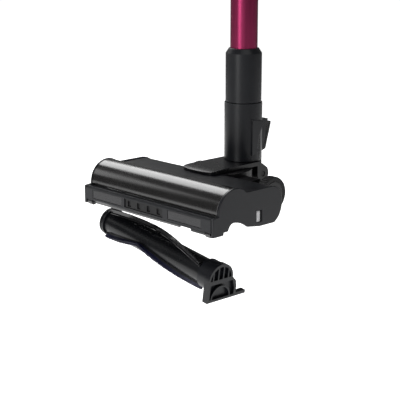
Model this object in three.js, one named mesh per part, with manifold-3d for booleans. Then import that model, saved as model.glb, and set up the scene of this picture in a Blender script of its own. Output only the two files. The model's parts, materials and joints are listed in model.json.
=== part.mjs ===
// Cordless stick vacuum: powered floor head with its brush bar swung out below, swivel joint,
// neck, wand and handset. Millimetres, +X to the right, +Y to the back, +Z up.
// The origin is on the flat underside of the head's sole, midway between its ends.
import * as THREE from 'three';
import { mergeVertices } from 'three/addons/utils/BufferGeometryUtils.js';
import Module from 'manifold-3d';

const wasm = await Module();
wasm.setup();

// ---------------------------------------------------------------- driving dimensions
const GAP = 0.3; // between pieces that touch
const RUN = 0.6; // between pieces that move past each other
const WALL = 2.4; // moulded wall

const HEAD_WIDTH = 265;
const HEAD_FRONT = -90; // front face of the bumper
const HEAD_REAR = 40; // rear face of the head's body
const DECK_TOP = 50;
const COVER_THICKNESS = 4;

const ROLLER_Y = -49.2; // brush bar axis when it is seated
const ROLLER_Z = 25.5;
const BRISTLE_RADIUS = 25;
const ROLLER_RADIUS = 17.7;
const CAP_RADIUS = 20.5;
const ROLLER_WALL = 2.5;
const ROLLER_LEFT = 120.6; // from the middle of the head to the cap's outer face
const ROLLER_RIGHT = 113; // from the middle of the head to the end block's inner face
const END_BLOCK_THICKNESS = 9;
const END_BLOCK_RADIUS = 21.8; // the arched top of the end block
const END_BLOCK_FOOT = 18; // length of the foot behind the end block
const END_BLOCK_BOTTOM = -1.6;
const COLLAR_REACH = 21; // how far the end block's collar reaches along the roller
const STRIP_APEX = -30; // where along the roller the wound strips turn back
const STRIP_TWIST = 0.6; // degrees per millimetre
const STRIP_MARGIN = 2; // from a strip's end to the collar or the cap
const BRISTLE_THICKNESS = 5.2;
const FIN_THICKNESS = 2.4;

const HOOD_Z = 28.8; // centre of the hood's arc, above the roller axis
const HOOD_RADIUS = 29.7;
const HOOD_WALL = 1.6;

const BUMPER_DEPTH = 10.5;
const BUMPER_BOTTOM = 4;
const BUMPER_TOP = 25.4;
const LENS_LENGTH = 64;
const LENS_HEIGHT = 12.5;
const LENS_THICKNESS = 2.4;
const INLET_LENGTH = 79;

const FRONT_WHEEL_RADIUS = 5;
const FRONT_WHEEL_WIDTH = 9;
const WHEEL_RADIUS = 24.6;
const WHEEL_WIDTH = 14;
const WHEEL_TRACK = 176; // over the outer faces of the rear wheels
const WHEEL_Y = 72;
const FLOOR_Z = -2; // the floor under the wheels
const TYRE_THICKNESS = 6;
const AXLE_RADIUS = 4;

const MOTOR_RADIUS = 14.5;
const MOTOR_LENGTH = 58;
const MOTOR_Y = 2;
const BELT_WIDTH = 4;
const BELT_THICKNESS = 1.2;
const PULLEY_RADIUS = 6;
const COUPLING_RADIUS = 10;

const SWIVEL_Y = 54; // vertical axis of the swivel
const TURRET_RADIUS = 45.5;
const SPIGOT_RADIUS = 29.4; // the ring that turns in the turret

const TILT_Y = 112; // axis that the neck tilts about
const TILT_Z = 37;
const KNUCKLE_RADIUS = 11.5;
const YOKE_WIDTH = 63;
const YOKE_FRONT = 4;
const YOKE_NOSE = 54; // height of its front edge
const YOKE_TOP = 56.5;
const YOKE_CORNER = 12;
const TONGUE_WIDTH = 31;
const PIN_RADIUS = 4;

const NECK_Y = 100; // axis of the neck and the wand
const NECK_RADIUS = 27.5;
const NECK_BOTTOM = 57.2;
const NECK_TOP = 141;
const SLEEVE_RADIUS = 26;
const SLEEVE_LENGTH = 77;
const SPIGOT_LENGTH = 46;
const TUBE_RADIUS = 19.5;
const TUBE_WALL = 1.5;
const TUBE_LENGTH = 545; // the bare wand between its two collars
const COLLAR_RADIUS = 25;
const COLLAR_LENGTH = 52;
const SOCKET_DEPTH = 60; // how far the tube goes into the lower sleeve
const COLLAR_SOCKET = 30; // how far the tube goes into the upper collar

const HOUSING_WIDTH = 57; // the latch housing round the back of the neck
const PEDAL_WIDTH = 30;
const PEDAL_BOTTOM = 67.5;
const PEDAL_TOP = 109;
const PEDAL_THICKNESS = 6;

const DUCT_RADIUS = 24;
const BIN_RADIUS = 48;
const BIN_HEIGHT = 112;
const BIN_WALL = 2;
const MOTOR_CASE_RADIUS = 52;
const MOTOR_CASE_HEIGHT = 112;
const HANDLE_THICKNESS = 30;
const HANDLE_REACH = 112; // from the wand axis back to the rear of the grip
const BATTERY_WIDTH = 62;
const BATTERY_HEIGHT = 46;
const IMPELLER_RADIUS = 23;

// how the brush bar hangs when it is out: turned about one far axis
const SWING_DEG = 8.355;
const SWING_LEAN = 0.1243; // forward lean of the turning plane
const BRUSH_MIDDLE_X = -2.1;
const DROP = 73.86; // how far the middle of the brush bar moves
const DROP_TURN = 88.32; // direction of that move from +X towards down, in degrees

// ---------------------------------------------------------------- derived places
const HALF = HEAD_WIDTH / 2;
const INNER_HALF = HALF - COVER_THICKNESS - GAP;
const CHAMBER_REAR = ROLLER_Y + HOOD_RADIUS - 1.5;
const HOOD_REAR_ANGLE = Math.asin((DECK_TOP - HOOD_Z) / HOOD_RADIUS);
const DECK_FRONT = ROLLER_Y + HOOD_RADIUS * Math.cos(HOOD_REAR_ANGLE) + GAP;
const DRIVE_WALL = -ROLLER_LEFT - GAP - WALL; // outer face of the wall at the driven end
const BELT_X = DRIVE_WALL - GAP - BELT_WIDTH / 2;
const WHEEL_Z = FLOOR_Z + WHEEL_RADIUS;
const WHEEL_X = WHEEL_TRACK / 2 - WHEEL_WIDTH / 2;
const LEFT_WHEEL_X = WHEEL_X - 21; // tucked in behind the saddle
const FRONT_WHEEL_X = HALF - COVER_THICKNESS - 7;
const FRONT_WHEEL_Y = HEAD_FRONT + BUMPER_DEPTH / 2;
const FRONT_WHEEL_Z = FLOOR_Z + FRONT_WHEEL_RADIUS;
const YOKE_BOTTOM = DECK_TOP + RUN;
const BORE_RADIUS = TUBE_RADIUS;
const SLEEVE_BOTTOM = NECK_TOP + GAP;
const SLEEVE_TOP = SLEEVE_BOTTOM + SLEEVE_LENGTH;
const COLLAR_BOTTOM = SLEEVE_TOP + TUBE_LENGTH;
const DUCT_BOTTOM = COLLAR_BOTTOM + COLLAR_LENGTH + GAP;
const BIN_Y = NECK_Y - DUCT_RADIUS - BIN_RADIUS - 3;
const BIN_BOTTOM = DUCT_BOTTOM + 16;
const BIN_TOP = BIN_BOTTOM + BIN_HEIGHT;
const CASE_BOTTOM = BIN_TOP + GAP;
const CASE_TOP = CASE_BOTTOM + MOTOR_CASE_HEIGHT;
const DUCT_TOP = CASE_BOTTOM - GAP;
const GRIP_REAR = NECK_Y + HANDLE_REACH;
const HANDLE_BOTTOM = DUCT_BOTTOM + 64;
const BATTERY_TOP = HANDLE_BOTTOM - GAP;

// ---------------------------------------------------------------- solids
const rad = THREE.MathUtils.degToRad;

// a manifold solid from a closed geometry, turned right side out
function solid(geometry) {
  const bare = geometry.index ? geometry.toNonIndexed() : geometry.clone();
  bare.deleteAttribute('normal');
  bare.deleteAttribute('uv');
  const merged = mergeVertices(bare, 1e-3);
  const vertProperties = Float32Array.from(merged.attributes.position.array);
  const triVerts = Uint32Array.from(merged.index.array);
  const shape = new wasm.Manifold(new wasm.Mesh({ numProp: 3, vertProperties, triVerts }));
  if (shape.volume() > 0) return shape;
  return new wasm.Manifold(new wasm.Mesh({ numProp: 3, vertProperties, triVerts: triVerts.reverse() }));
}

function box(x0, x1, y0, y1, z0, z1) {
  const geometry = new THREE.BoxGeometry(x1 - x0, y1 - y0, z1 - z0);
  geometry.translate((x0 + x1) / 2, (y0 + y1) / 2, (z0 + z1) / 2);
  return solid(geometry);
}

// a cylinder along X, Y or Z: `from` and `to` run along that axis, `at` is [x, y, z] of the axis
function rod(axis, radius, from, to, at, segments = 32) {
  const geometry = new THREE.CylinderGeometry(radius, radius, to - from, segments);
  const middle = (from + to) / 2;
  if (axis === 'x') geometry.rotateZ(Math.PI / 2).translate(middle, at[1], at[2]);
  if (axis === 'y') geometry.translate(at[0], middle, at[2]);
  if (axis === 'z') geometry.rotateX(Math.PI / 2).translate(at[0], at[1], middle);
  return solid(geometry);
}

function outline(points) {
  return points instanceof THREE.Shape ? points : new THREE.Shape(points.map(([a, b]) => new THREE.Vector2(a, b)));
}

// an outline in (y, z), drawn out along X
function prismX(points, x0, x1, segments = 8) {
  const geometry = new THREE.ExtrudeGeometry(outline(points), {
    depth: x1 - x0, bevelEnabled: false, curveSegments: segments,
  });
  geometry.applyMatrix4(new THREE.Matrix4().set(0, 0, 1, x0, 1, 0, 0, 0, 0, 1, 0, 0, 0, 0, 0, 1));
  return solid(geometry);
}

// an outline in (x, y), drawn out along Z
function prismZ(points, z0, z1, segments = 8) {
  const geometry = new THREE.ExtrudeGeometry(outline(points), {
    depth: z1 - z0, bevelEnabled: false, curveSegments: segments,
  });
  return solid(geometry.translate(0, 0, z0));
}

// a profile of [radius, z] pairs that starts and ends on the axis, or closes on itself
function lathe(profile, x, y, segments = 32) {
  const points = profile.map(([radius, z]) => new THREE.Vector2(radius, z));
  const geometry = new THREE.LatheGeometry(points, segments);
  return solid(geometry.rotateX(Math.PI / 2).scale(1, 1, 1).translate(x, y, 0));
}

// a tube of given outer and inner radius between two heights
function tubeZ(outer, inner, z0, z1, x, y, segments = 32) {
  return rod('z', outer, z0, z1, [x, y], segments).subtract(rod('z', inner, z0 - 1, z1 + 1, [x, y], segments));
}

// a closed solid through rings of equally many points, capped flat at both ends
function loft(rings) {
  const count = rings[0].length;
  const position = rings.flat(2);
  const index = [];
  for (let k = 0; k + 1 < rings.length; k++) {
    for (let i = 0; i < count; i++) {
      const a = k * count + i;
      const b = k * count + ((i + 1) % count);
      index.push(a, b, b + count, a, b + count, a + count);
    }
  }
  const last = (rings.length - 1) * count;
  for (let i = 1; i + 1 < count; i++) {
    index.push(0, i + 1, i, last, last + i, last + i + 1);
  }
  const geometry = new THREE.BufferGeometry();
  geometry.setAttribute('position', new THREE.Float32BufferAttribute(position, 3));
  geometry.setIndex(index);
  return solid(geometry);
}

function join(...shapes) {
  return shapes.reduce((all, next) => all.add(next));
}

function cut(shape, ...tools) {
  return tools.reduce((left, tool) => left.subtract(tool), shape);
}

// ---------------------------------------------------------------- materials
function finish(color, roughness, metalness = 0, extra = {}) {
  return new THREE.MeshStandardMaterial({ color, roughness, metalness, ...extra });
}

const CHARCOAL = finish(0x26262a, 0.5);
const BLACK = finish(0x141416, 0.6);
const SMOKED = finish(0x2b2a2e, 0.12, 0, { transparent: true, opacity: 0.92 });
const LENS = finish(0x4a4a50, 0.25);
const RUBBER = finish(0x101012, 0.9);
const GREY = finish(0x3a3a40, 0.45);
const MARK = finish(0x8f9096, 0.4);
const BRISTLE = finish(0x0c0c18, 0.95);
const MAGENTA = finish(0x7d2848, 0.35, 0.7);
const STEEL = finish(0xb4b6ba, 0.3, 1);
const BOARD = finish(0x1d4a2c, 0.6);
const CLEAR = finish(0x6a5f68, 0.1, 0, { transparent: true, opacity: 0.45 });
const FILTER = finish(0xd8d8d4, 0.95);

function piece(group, name, shape, material) {
  const mesh = shape.getMesh();
  const geometry = new THREE.BufferGeometry();
  geometry.setAttribute('position', new THREE.BufferAttribute(mesh.vertProperties, 3));
  geometry.setIndex(new THREE.BufferAttribute(mesh.triVerts, 1));
  geometry.computeVertexNormals();
  const item = new THREE.Mesh(geometry, material);
  item.name = name;
  group.add(item);
  return item;
}

// ---------------------------------------------------------------- floor head
// the hood's arc as points in (y, z), from one angle to another, in degrees from +Y towards +Z
function arcPoints(y, z, radius, from, to, steps) {
  return Array.from({ length: steps + 1 }, (_, i) => {
    const angle = rad(from + ((to - from) * i) / steps);
    return [y + radius * Math.cos(angle), z + radius * Math.sin(angle)];
  });
}

function rollerHood() {
  const rear = THREE.MathUtils.radToDeg(HOOD_REAR_ANGLE);
  const outer = arcPoints(ROLLER_Y, HOOD_Z, HOOD_RADIUS, rear, 186, 18);
  const inner = arcPoints(ROLLER_Y, HOOD_Z, HOOD_RADIUS - HOOD_WALL, 186, rear, 18);
  return prismX([...outer, ...inner], -INNER_HALF, INNER_HALF);
}

function deckProfile(offset) {
  const radius = 20 - offset;
  const centreY = HEAD_REAR - 20;
  const centreZ = DECK_TOP - 20;
  return arcPoints(centreY, centreZ, radius, 90, 0, 5);
}

function topDeck() {
  const seam = DECK_TOP - 22;
  const outer = [[DECK_FRONT, DECK_TOP], ...deckProfile(0), [HEAD_REAR, seam]];
  const inner = [[HEAD_REAR - WALL, seam], ...deckProfile(WALL).reverse(), [DECK_FRONT, DECK_TOP - WALL]];
  const shell = prismX([...outer, ...inner], -INNER_HALF, INNER_HALF);
  return cut(shell, rod('z', TURRET_RADIUS + GAP, 0, DECK_TOP + 10, [0, SWIVEL_Y], 40));
}

function sideCoverOutline() {
  const front = HEAD_FRONT + 0.3;
  const shape = new THREE.Shape();
  const hoodRim = HOOD_RADIUS + 0.8;
  const rearAngle = Math.asin((DECK_TOP + 1.2 - HOOD_Z) / hoodRim);
  shape.moveTo(front, 0);
  shape.lineTo(HEAD_FRONT + 19, 0);
  shape.lineTo(HEAD_FRONT + 20, BUMPER_BOTTOM);
  shape.lineTo(ROLLER_Y - 13, BUMPER_BOTTOM);
  shape.quadraticCurveTo(ROLLER_Y - 10, 13.6, ROLLER_Y - 2, 13.6);
  shape.quadraticCurveTo(ROLLER_Y + 12, 12, ROLLER_Y + 23, 3.4);
  shape.lineTo(ROLLER_Y + 46, 0);
  shape.lineTo(HEAD_REAR - 15, 0);
  shape.quadraticCurveTo(HEAD_REAR - 2, 6, HEAD_REAR + 0.6, 24);
  shape.quadraticCurveTo(HEAD_REAR + 0.6, DECK_TOP, HEAD_REAR - 20, DECK_TOP + 1.2);
  shape.lineTo(ROLLER_Y + hoodRim * Math.cos(rearAngle), DECK_TOP + 1.2);
  shape.absarc(ROLLER_Y, HOOD_Z, hoodRim, rearAngle, Math.PI, false);
  shape.lineTo(ROLLER_Y - hoodRim, BUMPER_TOP + 1);
  shape.lineTo(front, BUMPER_TOP);
  return shape;
}

function sideCover(side) {
  const plate = prismX(sideCoverOutline(), HALF - COVER_THICKNESS, HALF, 10);
  if (side < 0) {
    const step = box(HALF - COVER_THICKNESS / 2, HALF + 1, HEAD_FRONT - 1, DECK_FRONT, BUMPER_TOP + 1, 2 * DECK_TOP);
    return plate.subtract(step).mirror([1, 0, 0]);
  }
  const slot = box(HALF - 2.4, HALF + 1, LOCK.y - LOCK.width / 2 - GAP, LOCK.y + LOCK.width / 2 + LOCK.travel + GAP,
    LOCK.z - LOCK.height / 2 - GAP, LOCK.z + LOCK.height / 2 + GAP);
  return cut(plate, slot);
}

// the slider that locks the brush bar in
const LOCK = { y: ROLLER_Y + 43, z: 14.5, width: 5.6, height: 15, travel: 4 };

function brushLockSlider() {
  const { y, z, width, height } = LOCK;
  const base = box(HALF - 2.1, HALF - 0.2, y - width / 2, y + width / 2, z - height / 2, z + height / 2);
  return join(base, box(HALF - 0.5, HALF + 0.8, y - width / 2 + 0.6, y + width / 2 - 0.6,
    z - height / 2 + 0.6, z + height / 2 - 0.6));
}

const LENS_Z = (BUMPER_BOTTOM + BUMPER_TOP) / 2 + 0.6;
const LENS_MIDDLE = INLET_LENGTH / 2 + 8 + LENS_LENGTH / 2;

function lensPocket(side, depth) {
  const x = side * LENS_MIDDLE - 2;
  return box(x - LENS_LENGTH / 2, x + LENS_LENGTH / 2, HEAD_FRONT - 1, HEAD_FRONT + depth,
    LENS_Z - LENS_HEIGHT / 2, LENS_Z + LENS_HEIGHT / 2);
}

function bumperProfile() {
  const rear = HEAD_FRONT + BUMPER_DEPTH;
  const nose = 2.5;
  return [
    [HEAD_FRONT, BUMPER_BOTTOM + nose], [HEAD_FRONT + nose, BUMPER_BOTTOM], [rear, BUMPER_BOTTOM],
    [rear, BUMPER_TOP], [HEAD_FRONT + nose, BUMPER_TOP], [HEAD_FRONT, BUMPER_TOP - nose],
  ];
}

function frontWheelPocket(side) {
  const half = FRONT_WHEEL_WIDTH / 2 + RUN;
  const reach = FRONT_WHEEL_RADIUS + RUN;
  const x = side * FRONT_WHEEL_X;
  return box(x - half, x + half, FRONT_WHEEL_Y - reach + 1, HEAD_FRONT + BUMPER_DEPTH + 1,
    BUMPER_BOTTOM - 1, FRONT_WHEEL_Z + reach);
}

function frontBumper() {
  const bar = prismX(bumperProfile(), -INNER_HALF, INNER_HALF);
  const skid = prismX([[HEAD_FRONT + 2, BUMPER_BOTTOM], [HEAD_FRONT + 3, 0.5], [HEAD_FRONT + 8, 0.5],
    [HEAD_FRONT + 9, BUMPER_BOTTOM], [HEAD_FRONT + 5, BUMPER_BOTTOM + 1]], INNER_HALF - 40, INNER_HALF - 14);
  const inlet = box(-INLET_LENGTH / 2 - 4, INLET_LENGTH / 2 - 4, HEAD_FRONT - 1, HEAD_FRONT + 5,
    LENS_Z - LENS_HEIGHT / 2, LENS_Z + LENS_HEIGHT / 2);
  return cut(join(bar, skid), lensPocket(1, 7), lensPocket(-1, 7), inlet,
    frontWheelPocket(1), frontWheelPocket(-1));
}

function headlampLens(side) {
  const x = side * LENS_MIDDLE - 2;
  return box(x - LENS_LENGTH / 2 + GAP, x + LENS_LENGTH / 2 - GAP, HEAD_FRONT + 0.4,
    HEAD_FRONT + 0.4 + LENS_THICKNESS, LENS_Z - LENS_HEIGHT / 2 + GAP, LENS_Z + LENS_HEIGHT / 2 - GAP);
}

function ledBoard(side) {
  const x = side * LENS_MIDDLE - 2;
  const front = HEAD_FRONT + 0.4 + LENS_THICKNESS + 0.9;
  const board = box(x - LENS_LENGTH / 2 + 1, x + LENS_LENGTH / 2 - 1, front + 0.8, front + 2.4,
    LENS_Z - 4, LENS_Z + 4);
  const lamps = [-20, 0, 20].map((offset) => box(x + offset - 2, x + offset + 2, front, front + 1,
    LENS_Z - 1.5, LENS_Z + 1.5));
  return join(board, ...lamps);
}

function airInletInsert() {
  const x0 = -INLET_LENGTH / 2 - 4 + GAP;
  const x1 = INLET_LENGTH / 2 - 4 - GAP;
  const slab = box(x0, x1, HEAD_FRONT + 1.2, HEAD_FRONT + 4.7, LENS_Z - LENS_HEIGHT / 2 + GAP,
    LENS_Z + LENS_HEIGHT / 2 - GAP);
  const slots = [-3, -1, 1, 3].map((i) => box(-4 + i * 10 - 3.5, -4 + i * 10 + 3.5, HEAD_FRONT, HEAD_FRONT + 3,
    LENS_Z - 4, LENS_Z + 4));
  return cut(slab, ...slots);
}

function frontLip() {
  const y = HEAD_FRONT + 4;
  return prismX([[y, BUMPER_BOTTOM - GAP], [y + 1, 0.6], [y + 3, 0.6], [y + 4, BUMPER_BOTTOM - GAP]],
    -FRONT_WHEEL_X + 6, INNER_HALF / 2);
}

// the chassis: floor, walls, the round turret that carries the swivel, and the wheel arms
const TURRET_WALL = 3.5;
const ARM_REACH = 27.5; // from a wheel's middle back to where its arm starts
const ARM_GAP = 2.5; // between a wheel and its arm
const AXLE_SEAT = 8; // how far an axle reaches into its arm
const BRIDGE_TOP = DECK_TOP - 6;
const WEB_TOP = Math.min(WHEEL_Z + 4, DECK_TOP - 22 - GAP); // stays under the deck's rear edge
const BRIDGE_REAR = SWIVEL_Y + 8;

function wheelX(side) {
  return side * (side > 0 ? WHEEL_X : LEFT_WHEEL_X);
}

// `to` millimetres out from where the arm starts, on either side
function armSpan(side, to) {
  const ends = [wheelX(side) - side * ARM_REACH, wheelX(side) - side * (ARM_REACH - to)];
  return ends.sort((a, b) => a - b);
}
const DUCT_WIDTH = 50;
const DUCT_Z0 = 5;
const DUCT_Z1 = 36;

function chassisTray() {
  const seam = DECK_TOP - 22 - GAP;
  const shape = new THREE.Shape();
  shape.moveTo(CHAMBER_REAR, 0);
  shape.lineTo(HEAD_REAR - 15, 0);
  shape.quadraticCurveTo(HEAD_REAR - 2, 6, HEAD_REAR, 24);
  shape.lineTo(HEAD_REAR, seam);
  shape.lineTo(HEAD_REAR - WALL, seam);
  shape.lineTo(HEAD_REAR - WALL, 24);
  shape.quadraticCurveTo(HEAD_REAR - 4, 8, HEAD_REAR - 16, WALL);
  shape.lineTo(CHAMBER_REAR + WALL, WALL);
  shape.lineTo(CHAMBER_REAR + WALL, DECK_TOP - WALL - GAP);
  shape.lineTo(CHAMBER_REAR, DECK_TOP - WALL - GAP);
  return prismX(shape, -INNER_HALF, INNER_HALF, 5);
}

function driveWall() {
  const radius = HOOD_RADIUS - HOOD_WALL - GAP;
  const arch = arcPoints(ROLLER_Y, HOOD_Z, radius - GAP, 44, 186, 12);
  const points = [[CHAMBER_REAR + 1, BUMPER_BOTTOM], [CHAMBER_REAR + 1, HOOD_Z + 12], ...arch,
    [HEAD_FRONT + BUMPER_DEPTH + 3, BUMPER_BOTTOM + 16], [HEAD_FRONT + BUMPER_DEPTH + GAP, BUMPER_BOTTOM]];
  return cut(prismX(points, DRIVE_WALL, DRIVE_WALL + WALL),
    rod('x', COUPLING_RADIUS - 3 + RUN, DRIVE_WALL - 1, DRIVE_WALL + WALL + 1, [0, ROLLER_Y, ROLLER_Z]));
}

function wheelArm(side) {
  const [x0, x1] = armSpan(side, ARM_REACH - WHEEL_WIDTH / 2 - ARM_GAP);
  const profile = [[HEAD_REAR - 1, 13], ...arcPoints(WHEEL_Y, WHEEL_Z, 10, -90, 90, 8),
    [HEAD_REAR - 1, WEB_TOP]];
  return prismX(profile, x0, x1);
}

function headChassis() {
  const turret = rod('z', TURRET_RADIUS, 4, DECK_TOP, [0, SWIVEL_Y], 40);
  const well = rod('z', TURRET_RADIUS - TURRET_WALL, 4 + WALL, DECK_TOP - WALL, [0, SWIVEL_Y], 40);
  const mouth = rod('z', SPIGOT_RADIUS + RUN, DECK_TOP - 2 * WALL, DECK_TOP + 1, [0, SWIVEL_Y], 40);
  const [left] = armSpan(-1, ARM_REACH - WHEEL_WIDTH / 2 - ARM_GAP);
  const [, right] = armSpan(1, ARM_REACH - WHEEL_WIDTH / 2 - ARM_GAP);
  const webs = box(left, right, HEAD_REAR - 1, BRIDGE_REAR, WHEEL_Z - 9, WEB_TOP);
  const bridge = box(left, right, HEAD_REAR + GAP, BRIDGE_REAR, WHEEL_Z, BRIDGE_TOP);
  const airway = box(-DUCT_WIDTH / 2 + WALL, DUCT_WIDTH / 2 - WALL, CHAMBER_REAR - 1, SWIVEL_Y - 20,
    DUCT_Z0 + WALL, DUCT_Z1 - WALL);
  const rim = RUN + END_BLOCK_THICKNESS;
  const footNotch = box(ROLLER_RIGHT - 10 - rim, INNER_HALF + 1, CHAMBER_REAR - 1,
    END_BLOCK_REAR + END_BLOCK_FOOT + 2, -1, END_BLOCK_BOTTOM + 7);
  const body = join(chassisTray(), driveWall(), turret, webs, bridge, wheelArm(1), wheelArm(-1));
  const bores = [-1, 1].map((side) => {
    const [x0, x1] = armSpan(side, ARM_REACH);
    return rod('x', AXLE_RADIUS + GAP, x0 - 4, x1 + 4, [0, WHEEL_Y, WHEEL_Z], 20);
  });
  return cut(body, well, mouth, airway, footNotch, ...bores, motorShaftHole(), beltRoom());
}

// the belt passes behind the drive wall, so the walls there stop short of it
function beltRoom() {
  return box(-INNER_HALF - 1, DRIVE_WALL - GAP, CHAMBER_REAR - 1, MOTOR_Y + PULLEY_RADIUS + 4,
    WALL + 3, ROLLER_Z + COUPLING_RADIUS + 6);
}

function motorShaftHole() {
  return rod('x', 4, DRIVE_WALL - 1, DRIVE_WALL + 20, [0, MOTOR_Y, ROLLER_Z], 16);
}

function airDuct() {
  const outer = box(-DUCT_WIDTH / 2, DUCT_WIDTH / 2, CHAMBER_REAR + WALL + GAP, SWIVEL_Y - 8, DUCT_Z0, DUCT_Z1);
  const inner = box(-DUCT_WIDTH / 2 + WALL, DUCT_WIDTH / 2 - WALL, CHAMBER_REAR, SWIVEL_Y,
    DUCT_Z0 + WALL, DUCT_Z1 - WALL);
  return cut(outer, inner, rod('z', TURRET_RADIUS + GAP, 0, DECK_TOP, [0, SWIVEL_Y], 40));
}

function brushMotor() {
  const left = DRIVE_WALL + WALL + 2;
  const can = rod('x', MOTOR_RADIUS, left + 4, left + 4 + MOTOR_LENGTH, [0, MOTOR_Y, ROLLER_Z], 24);
  const boss = rod('x', 7, left + 1, left + 5, [0, MOTOR_Y, ROLLER_Z], 20);
  return join(can, boss);
}

function motorPulley() {
  const pulley = rod('x', PULLEY_RADIUS, BELT_X - BELT_WIDTH / 2, BELT_X + BELT_WIDTH / 2,
    [0, MOTOR_Y, ROLLER_Z], 20);
  return join(pulley, rod('x', 2.5, BELT_X, DRIVE_WALL + WALL + 2, [0, MOTOR_Y, ROLLER_Z], 16));
}

function driveCoupling() {
  const pulley = rod('x', COUPLING_RADIUS, BELT_X - BELT_WIDTH / 2, BELT_X + BELT_WIDTH / 2,
    [0, ROLLER_Y, ROLLER_Z], 28);
  return join(pulley, rod('x', COUPLING_RADIUS - 3, BELT_X, -ROLLER_LEFT - GAP, [0, ROLLER_Y, ROLLER_Z], 24));
}

// an open loop of the flat belt round both pulleys: the hull of two circles, hollowed
function driveBelt() {
  function band(extra, half) {
    const front = ROLLER_Y;
    const back = MOTOR_Y;
    const lean = Math.asin((COUPLING_RADIUS - PULLEY_RADIUS) / (back - front));
    const deg = THREE.MathUtils.radToDeg(lean);
    const rear = arcPoints(back, ROLLER_Z, PULLEY_RADIUS + extra, -90 + deg, 90 - deg, 10);
    const fore = arcPoints(front, ROLLER_Z, COUPLING_RADIUS + extra, 90 - deg, 270 + deg, 16);
    return prismX([...rear, ...fore], BELT_X - half, BELT_X + half);
  }
  return band(GAP + BELT_THICKNESS, BELT_WIDTH / 2 - 0.4).subtract(band(GAP, BELT_WIDTH));
}

function wheelHub() {
  const radius = WHEEL_RADIUS - TYRE_THICKNESS - GAP;
  const face = rod('x', radius, -WHEEL_WIDTH / 2, WHEEL_WIDTH / 2, [0, 0, 0]);
  const dish = rod('x', radius - 3, -WHEEL_WIDTH / 2 - 1, WHEEL_WIDTH / 2 - 3, [0, 0, 0]);
  const boss = rod('x', AXLE_RADIUS + 3, -WHEEL_WIDTH / 2, WHEEL_WIDTH / 2 - 2, [0, 0, 0], 20);
  const bore = rod('x', AXLE_RADIUS + GAP, -WHEEL_WIDTH / 2 - 1, WHEEL_WIDTH / 2 - 2, [0, 0, 0], 20);
  return cut(join(cut(face, dish), boss), bore);
}

function wheelTyre() {
  const outer = rod('x', WHEEL_RADIUS, -WHEEL_WIDTH / 2, WHEEL_WIDTH / 2, [0, 0, 0], 40);
  return cut(outer, rod('x', WHEEL_RADIUS - TYRE_THICKNESS, -WHEEL_WIDTH, WHEEL_WIDTH, [0, 0, 0]));
}

function wheelAxle() {
  return rod('x', AXLE_RADIUS, -WHEEL_WIDTH / 2 - ARM_GAP - AXLE_SEAT, WHEEL_WIDTH / 2 - 2.5, [0, 0, 0], 20);
}

function rearWheel(group, side, name) {
  const wheel = new THREE.Group();
  wheel.position.set(wheelX(side), WHEEL_Y, WHEEL_Z);
  if (side < 0) wheel.rotation.z = Math.PI;
  piece(wheel, `wheel_hub_${name}`, wheelHub(), GREY);
  piece(wheel, `rear_tyre_${name}`, wheelTyre(), RUBBER);
  piece(wheel, `wheel_axle_${name}`, wheelAxle(), STEEL);
  group.add(wheel);
}

function frontWheel(group, side, name) {
  const half = FRONT_WHEEL_WIDTH / 2;
  const wheel = piece(group, `front_wheel_${name}`, rod('x', FRONT_WHEEL_RADIUS, -half, half, [0, 0, 0], 16), RUBBER);
  wheel.position.set(side * FRONT_WHEEL_X, FRONT_WHEEL_Y, FRONT_WHEEL_Z);
}

function floorHead() {
  const head = new THREE.Group();
  piece(head, 'head_chassis', headChassis(), BLACK);
  piece(head, 'top_deck', topDeck(), CHARCOAL);
  piece(head, 'roller_hood', rollerHood(), SMOKED);
  piece(head, 'front_bumper', frontBumper(), CHARCOAL);
  piece(head, 'headlamp_lens_left', headlampLens(-1), LENS);
  piece(head, 'headlamp_lens_right', headlampLens(1), LENS);
  piece(head, 'headlamp_board_left', ledBoard(-1), BOARD);
  piece(head, 'headlamp_board_right', ledBoard(1), BOARD);
  piece(head, 'air_inlet_insert', airInletInsert(), BLACK);
  piece(head, 'front_lip', frontLip(), RUBBER);
  piece(head, 'side_cover_left', sideCover(-1), CHARCOAL);
  piece(head, 'side_cover_right', sideCover(1), CHARCOAL);
  piece(head, 'brush_lock_slider', brushLockSlider(), MARK);
  piece(head, 'air_duct', airDuct(), BLACK);
  piece(head, 'brush_motor', brushMotor(), STEEL);
  piece(head, 'motor_pulley', motorPulley(), STEEL);
  piece(head, 'drive_belt', driveBelt(), RUBBER);
  piece(head, 'drive_coupling', driveCoupling(), GREY);
  for (const [side, name] of [[-1, 'left'], [1, 'right']]) {
    rearWheel(head, side, name);
    frontWheel(head, side, name);
  }
  return head;
}

// ---------------------------------------------------------------- brush bar
const ARCH_Y = ROLLER_Y - (HOOD_RADIUS - HOOD_WALL - RUN - END_BLOCK_RADIUS) * 0.9;
const ARCH_Z = HOOD_Z;
const END_BLOCK_REAR = ROLLER_Y + 25.2;
const STRIP_STARTS = { bristle_strip_a: 180, rubber_fin: 62, bristle_strip_b: 300 }; // degrees from +Y to +Z
const AXLE_REACH = 60; // how far the brush axle reaches into the roller

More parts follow.
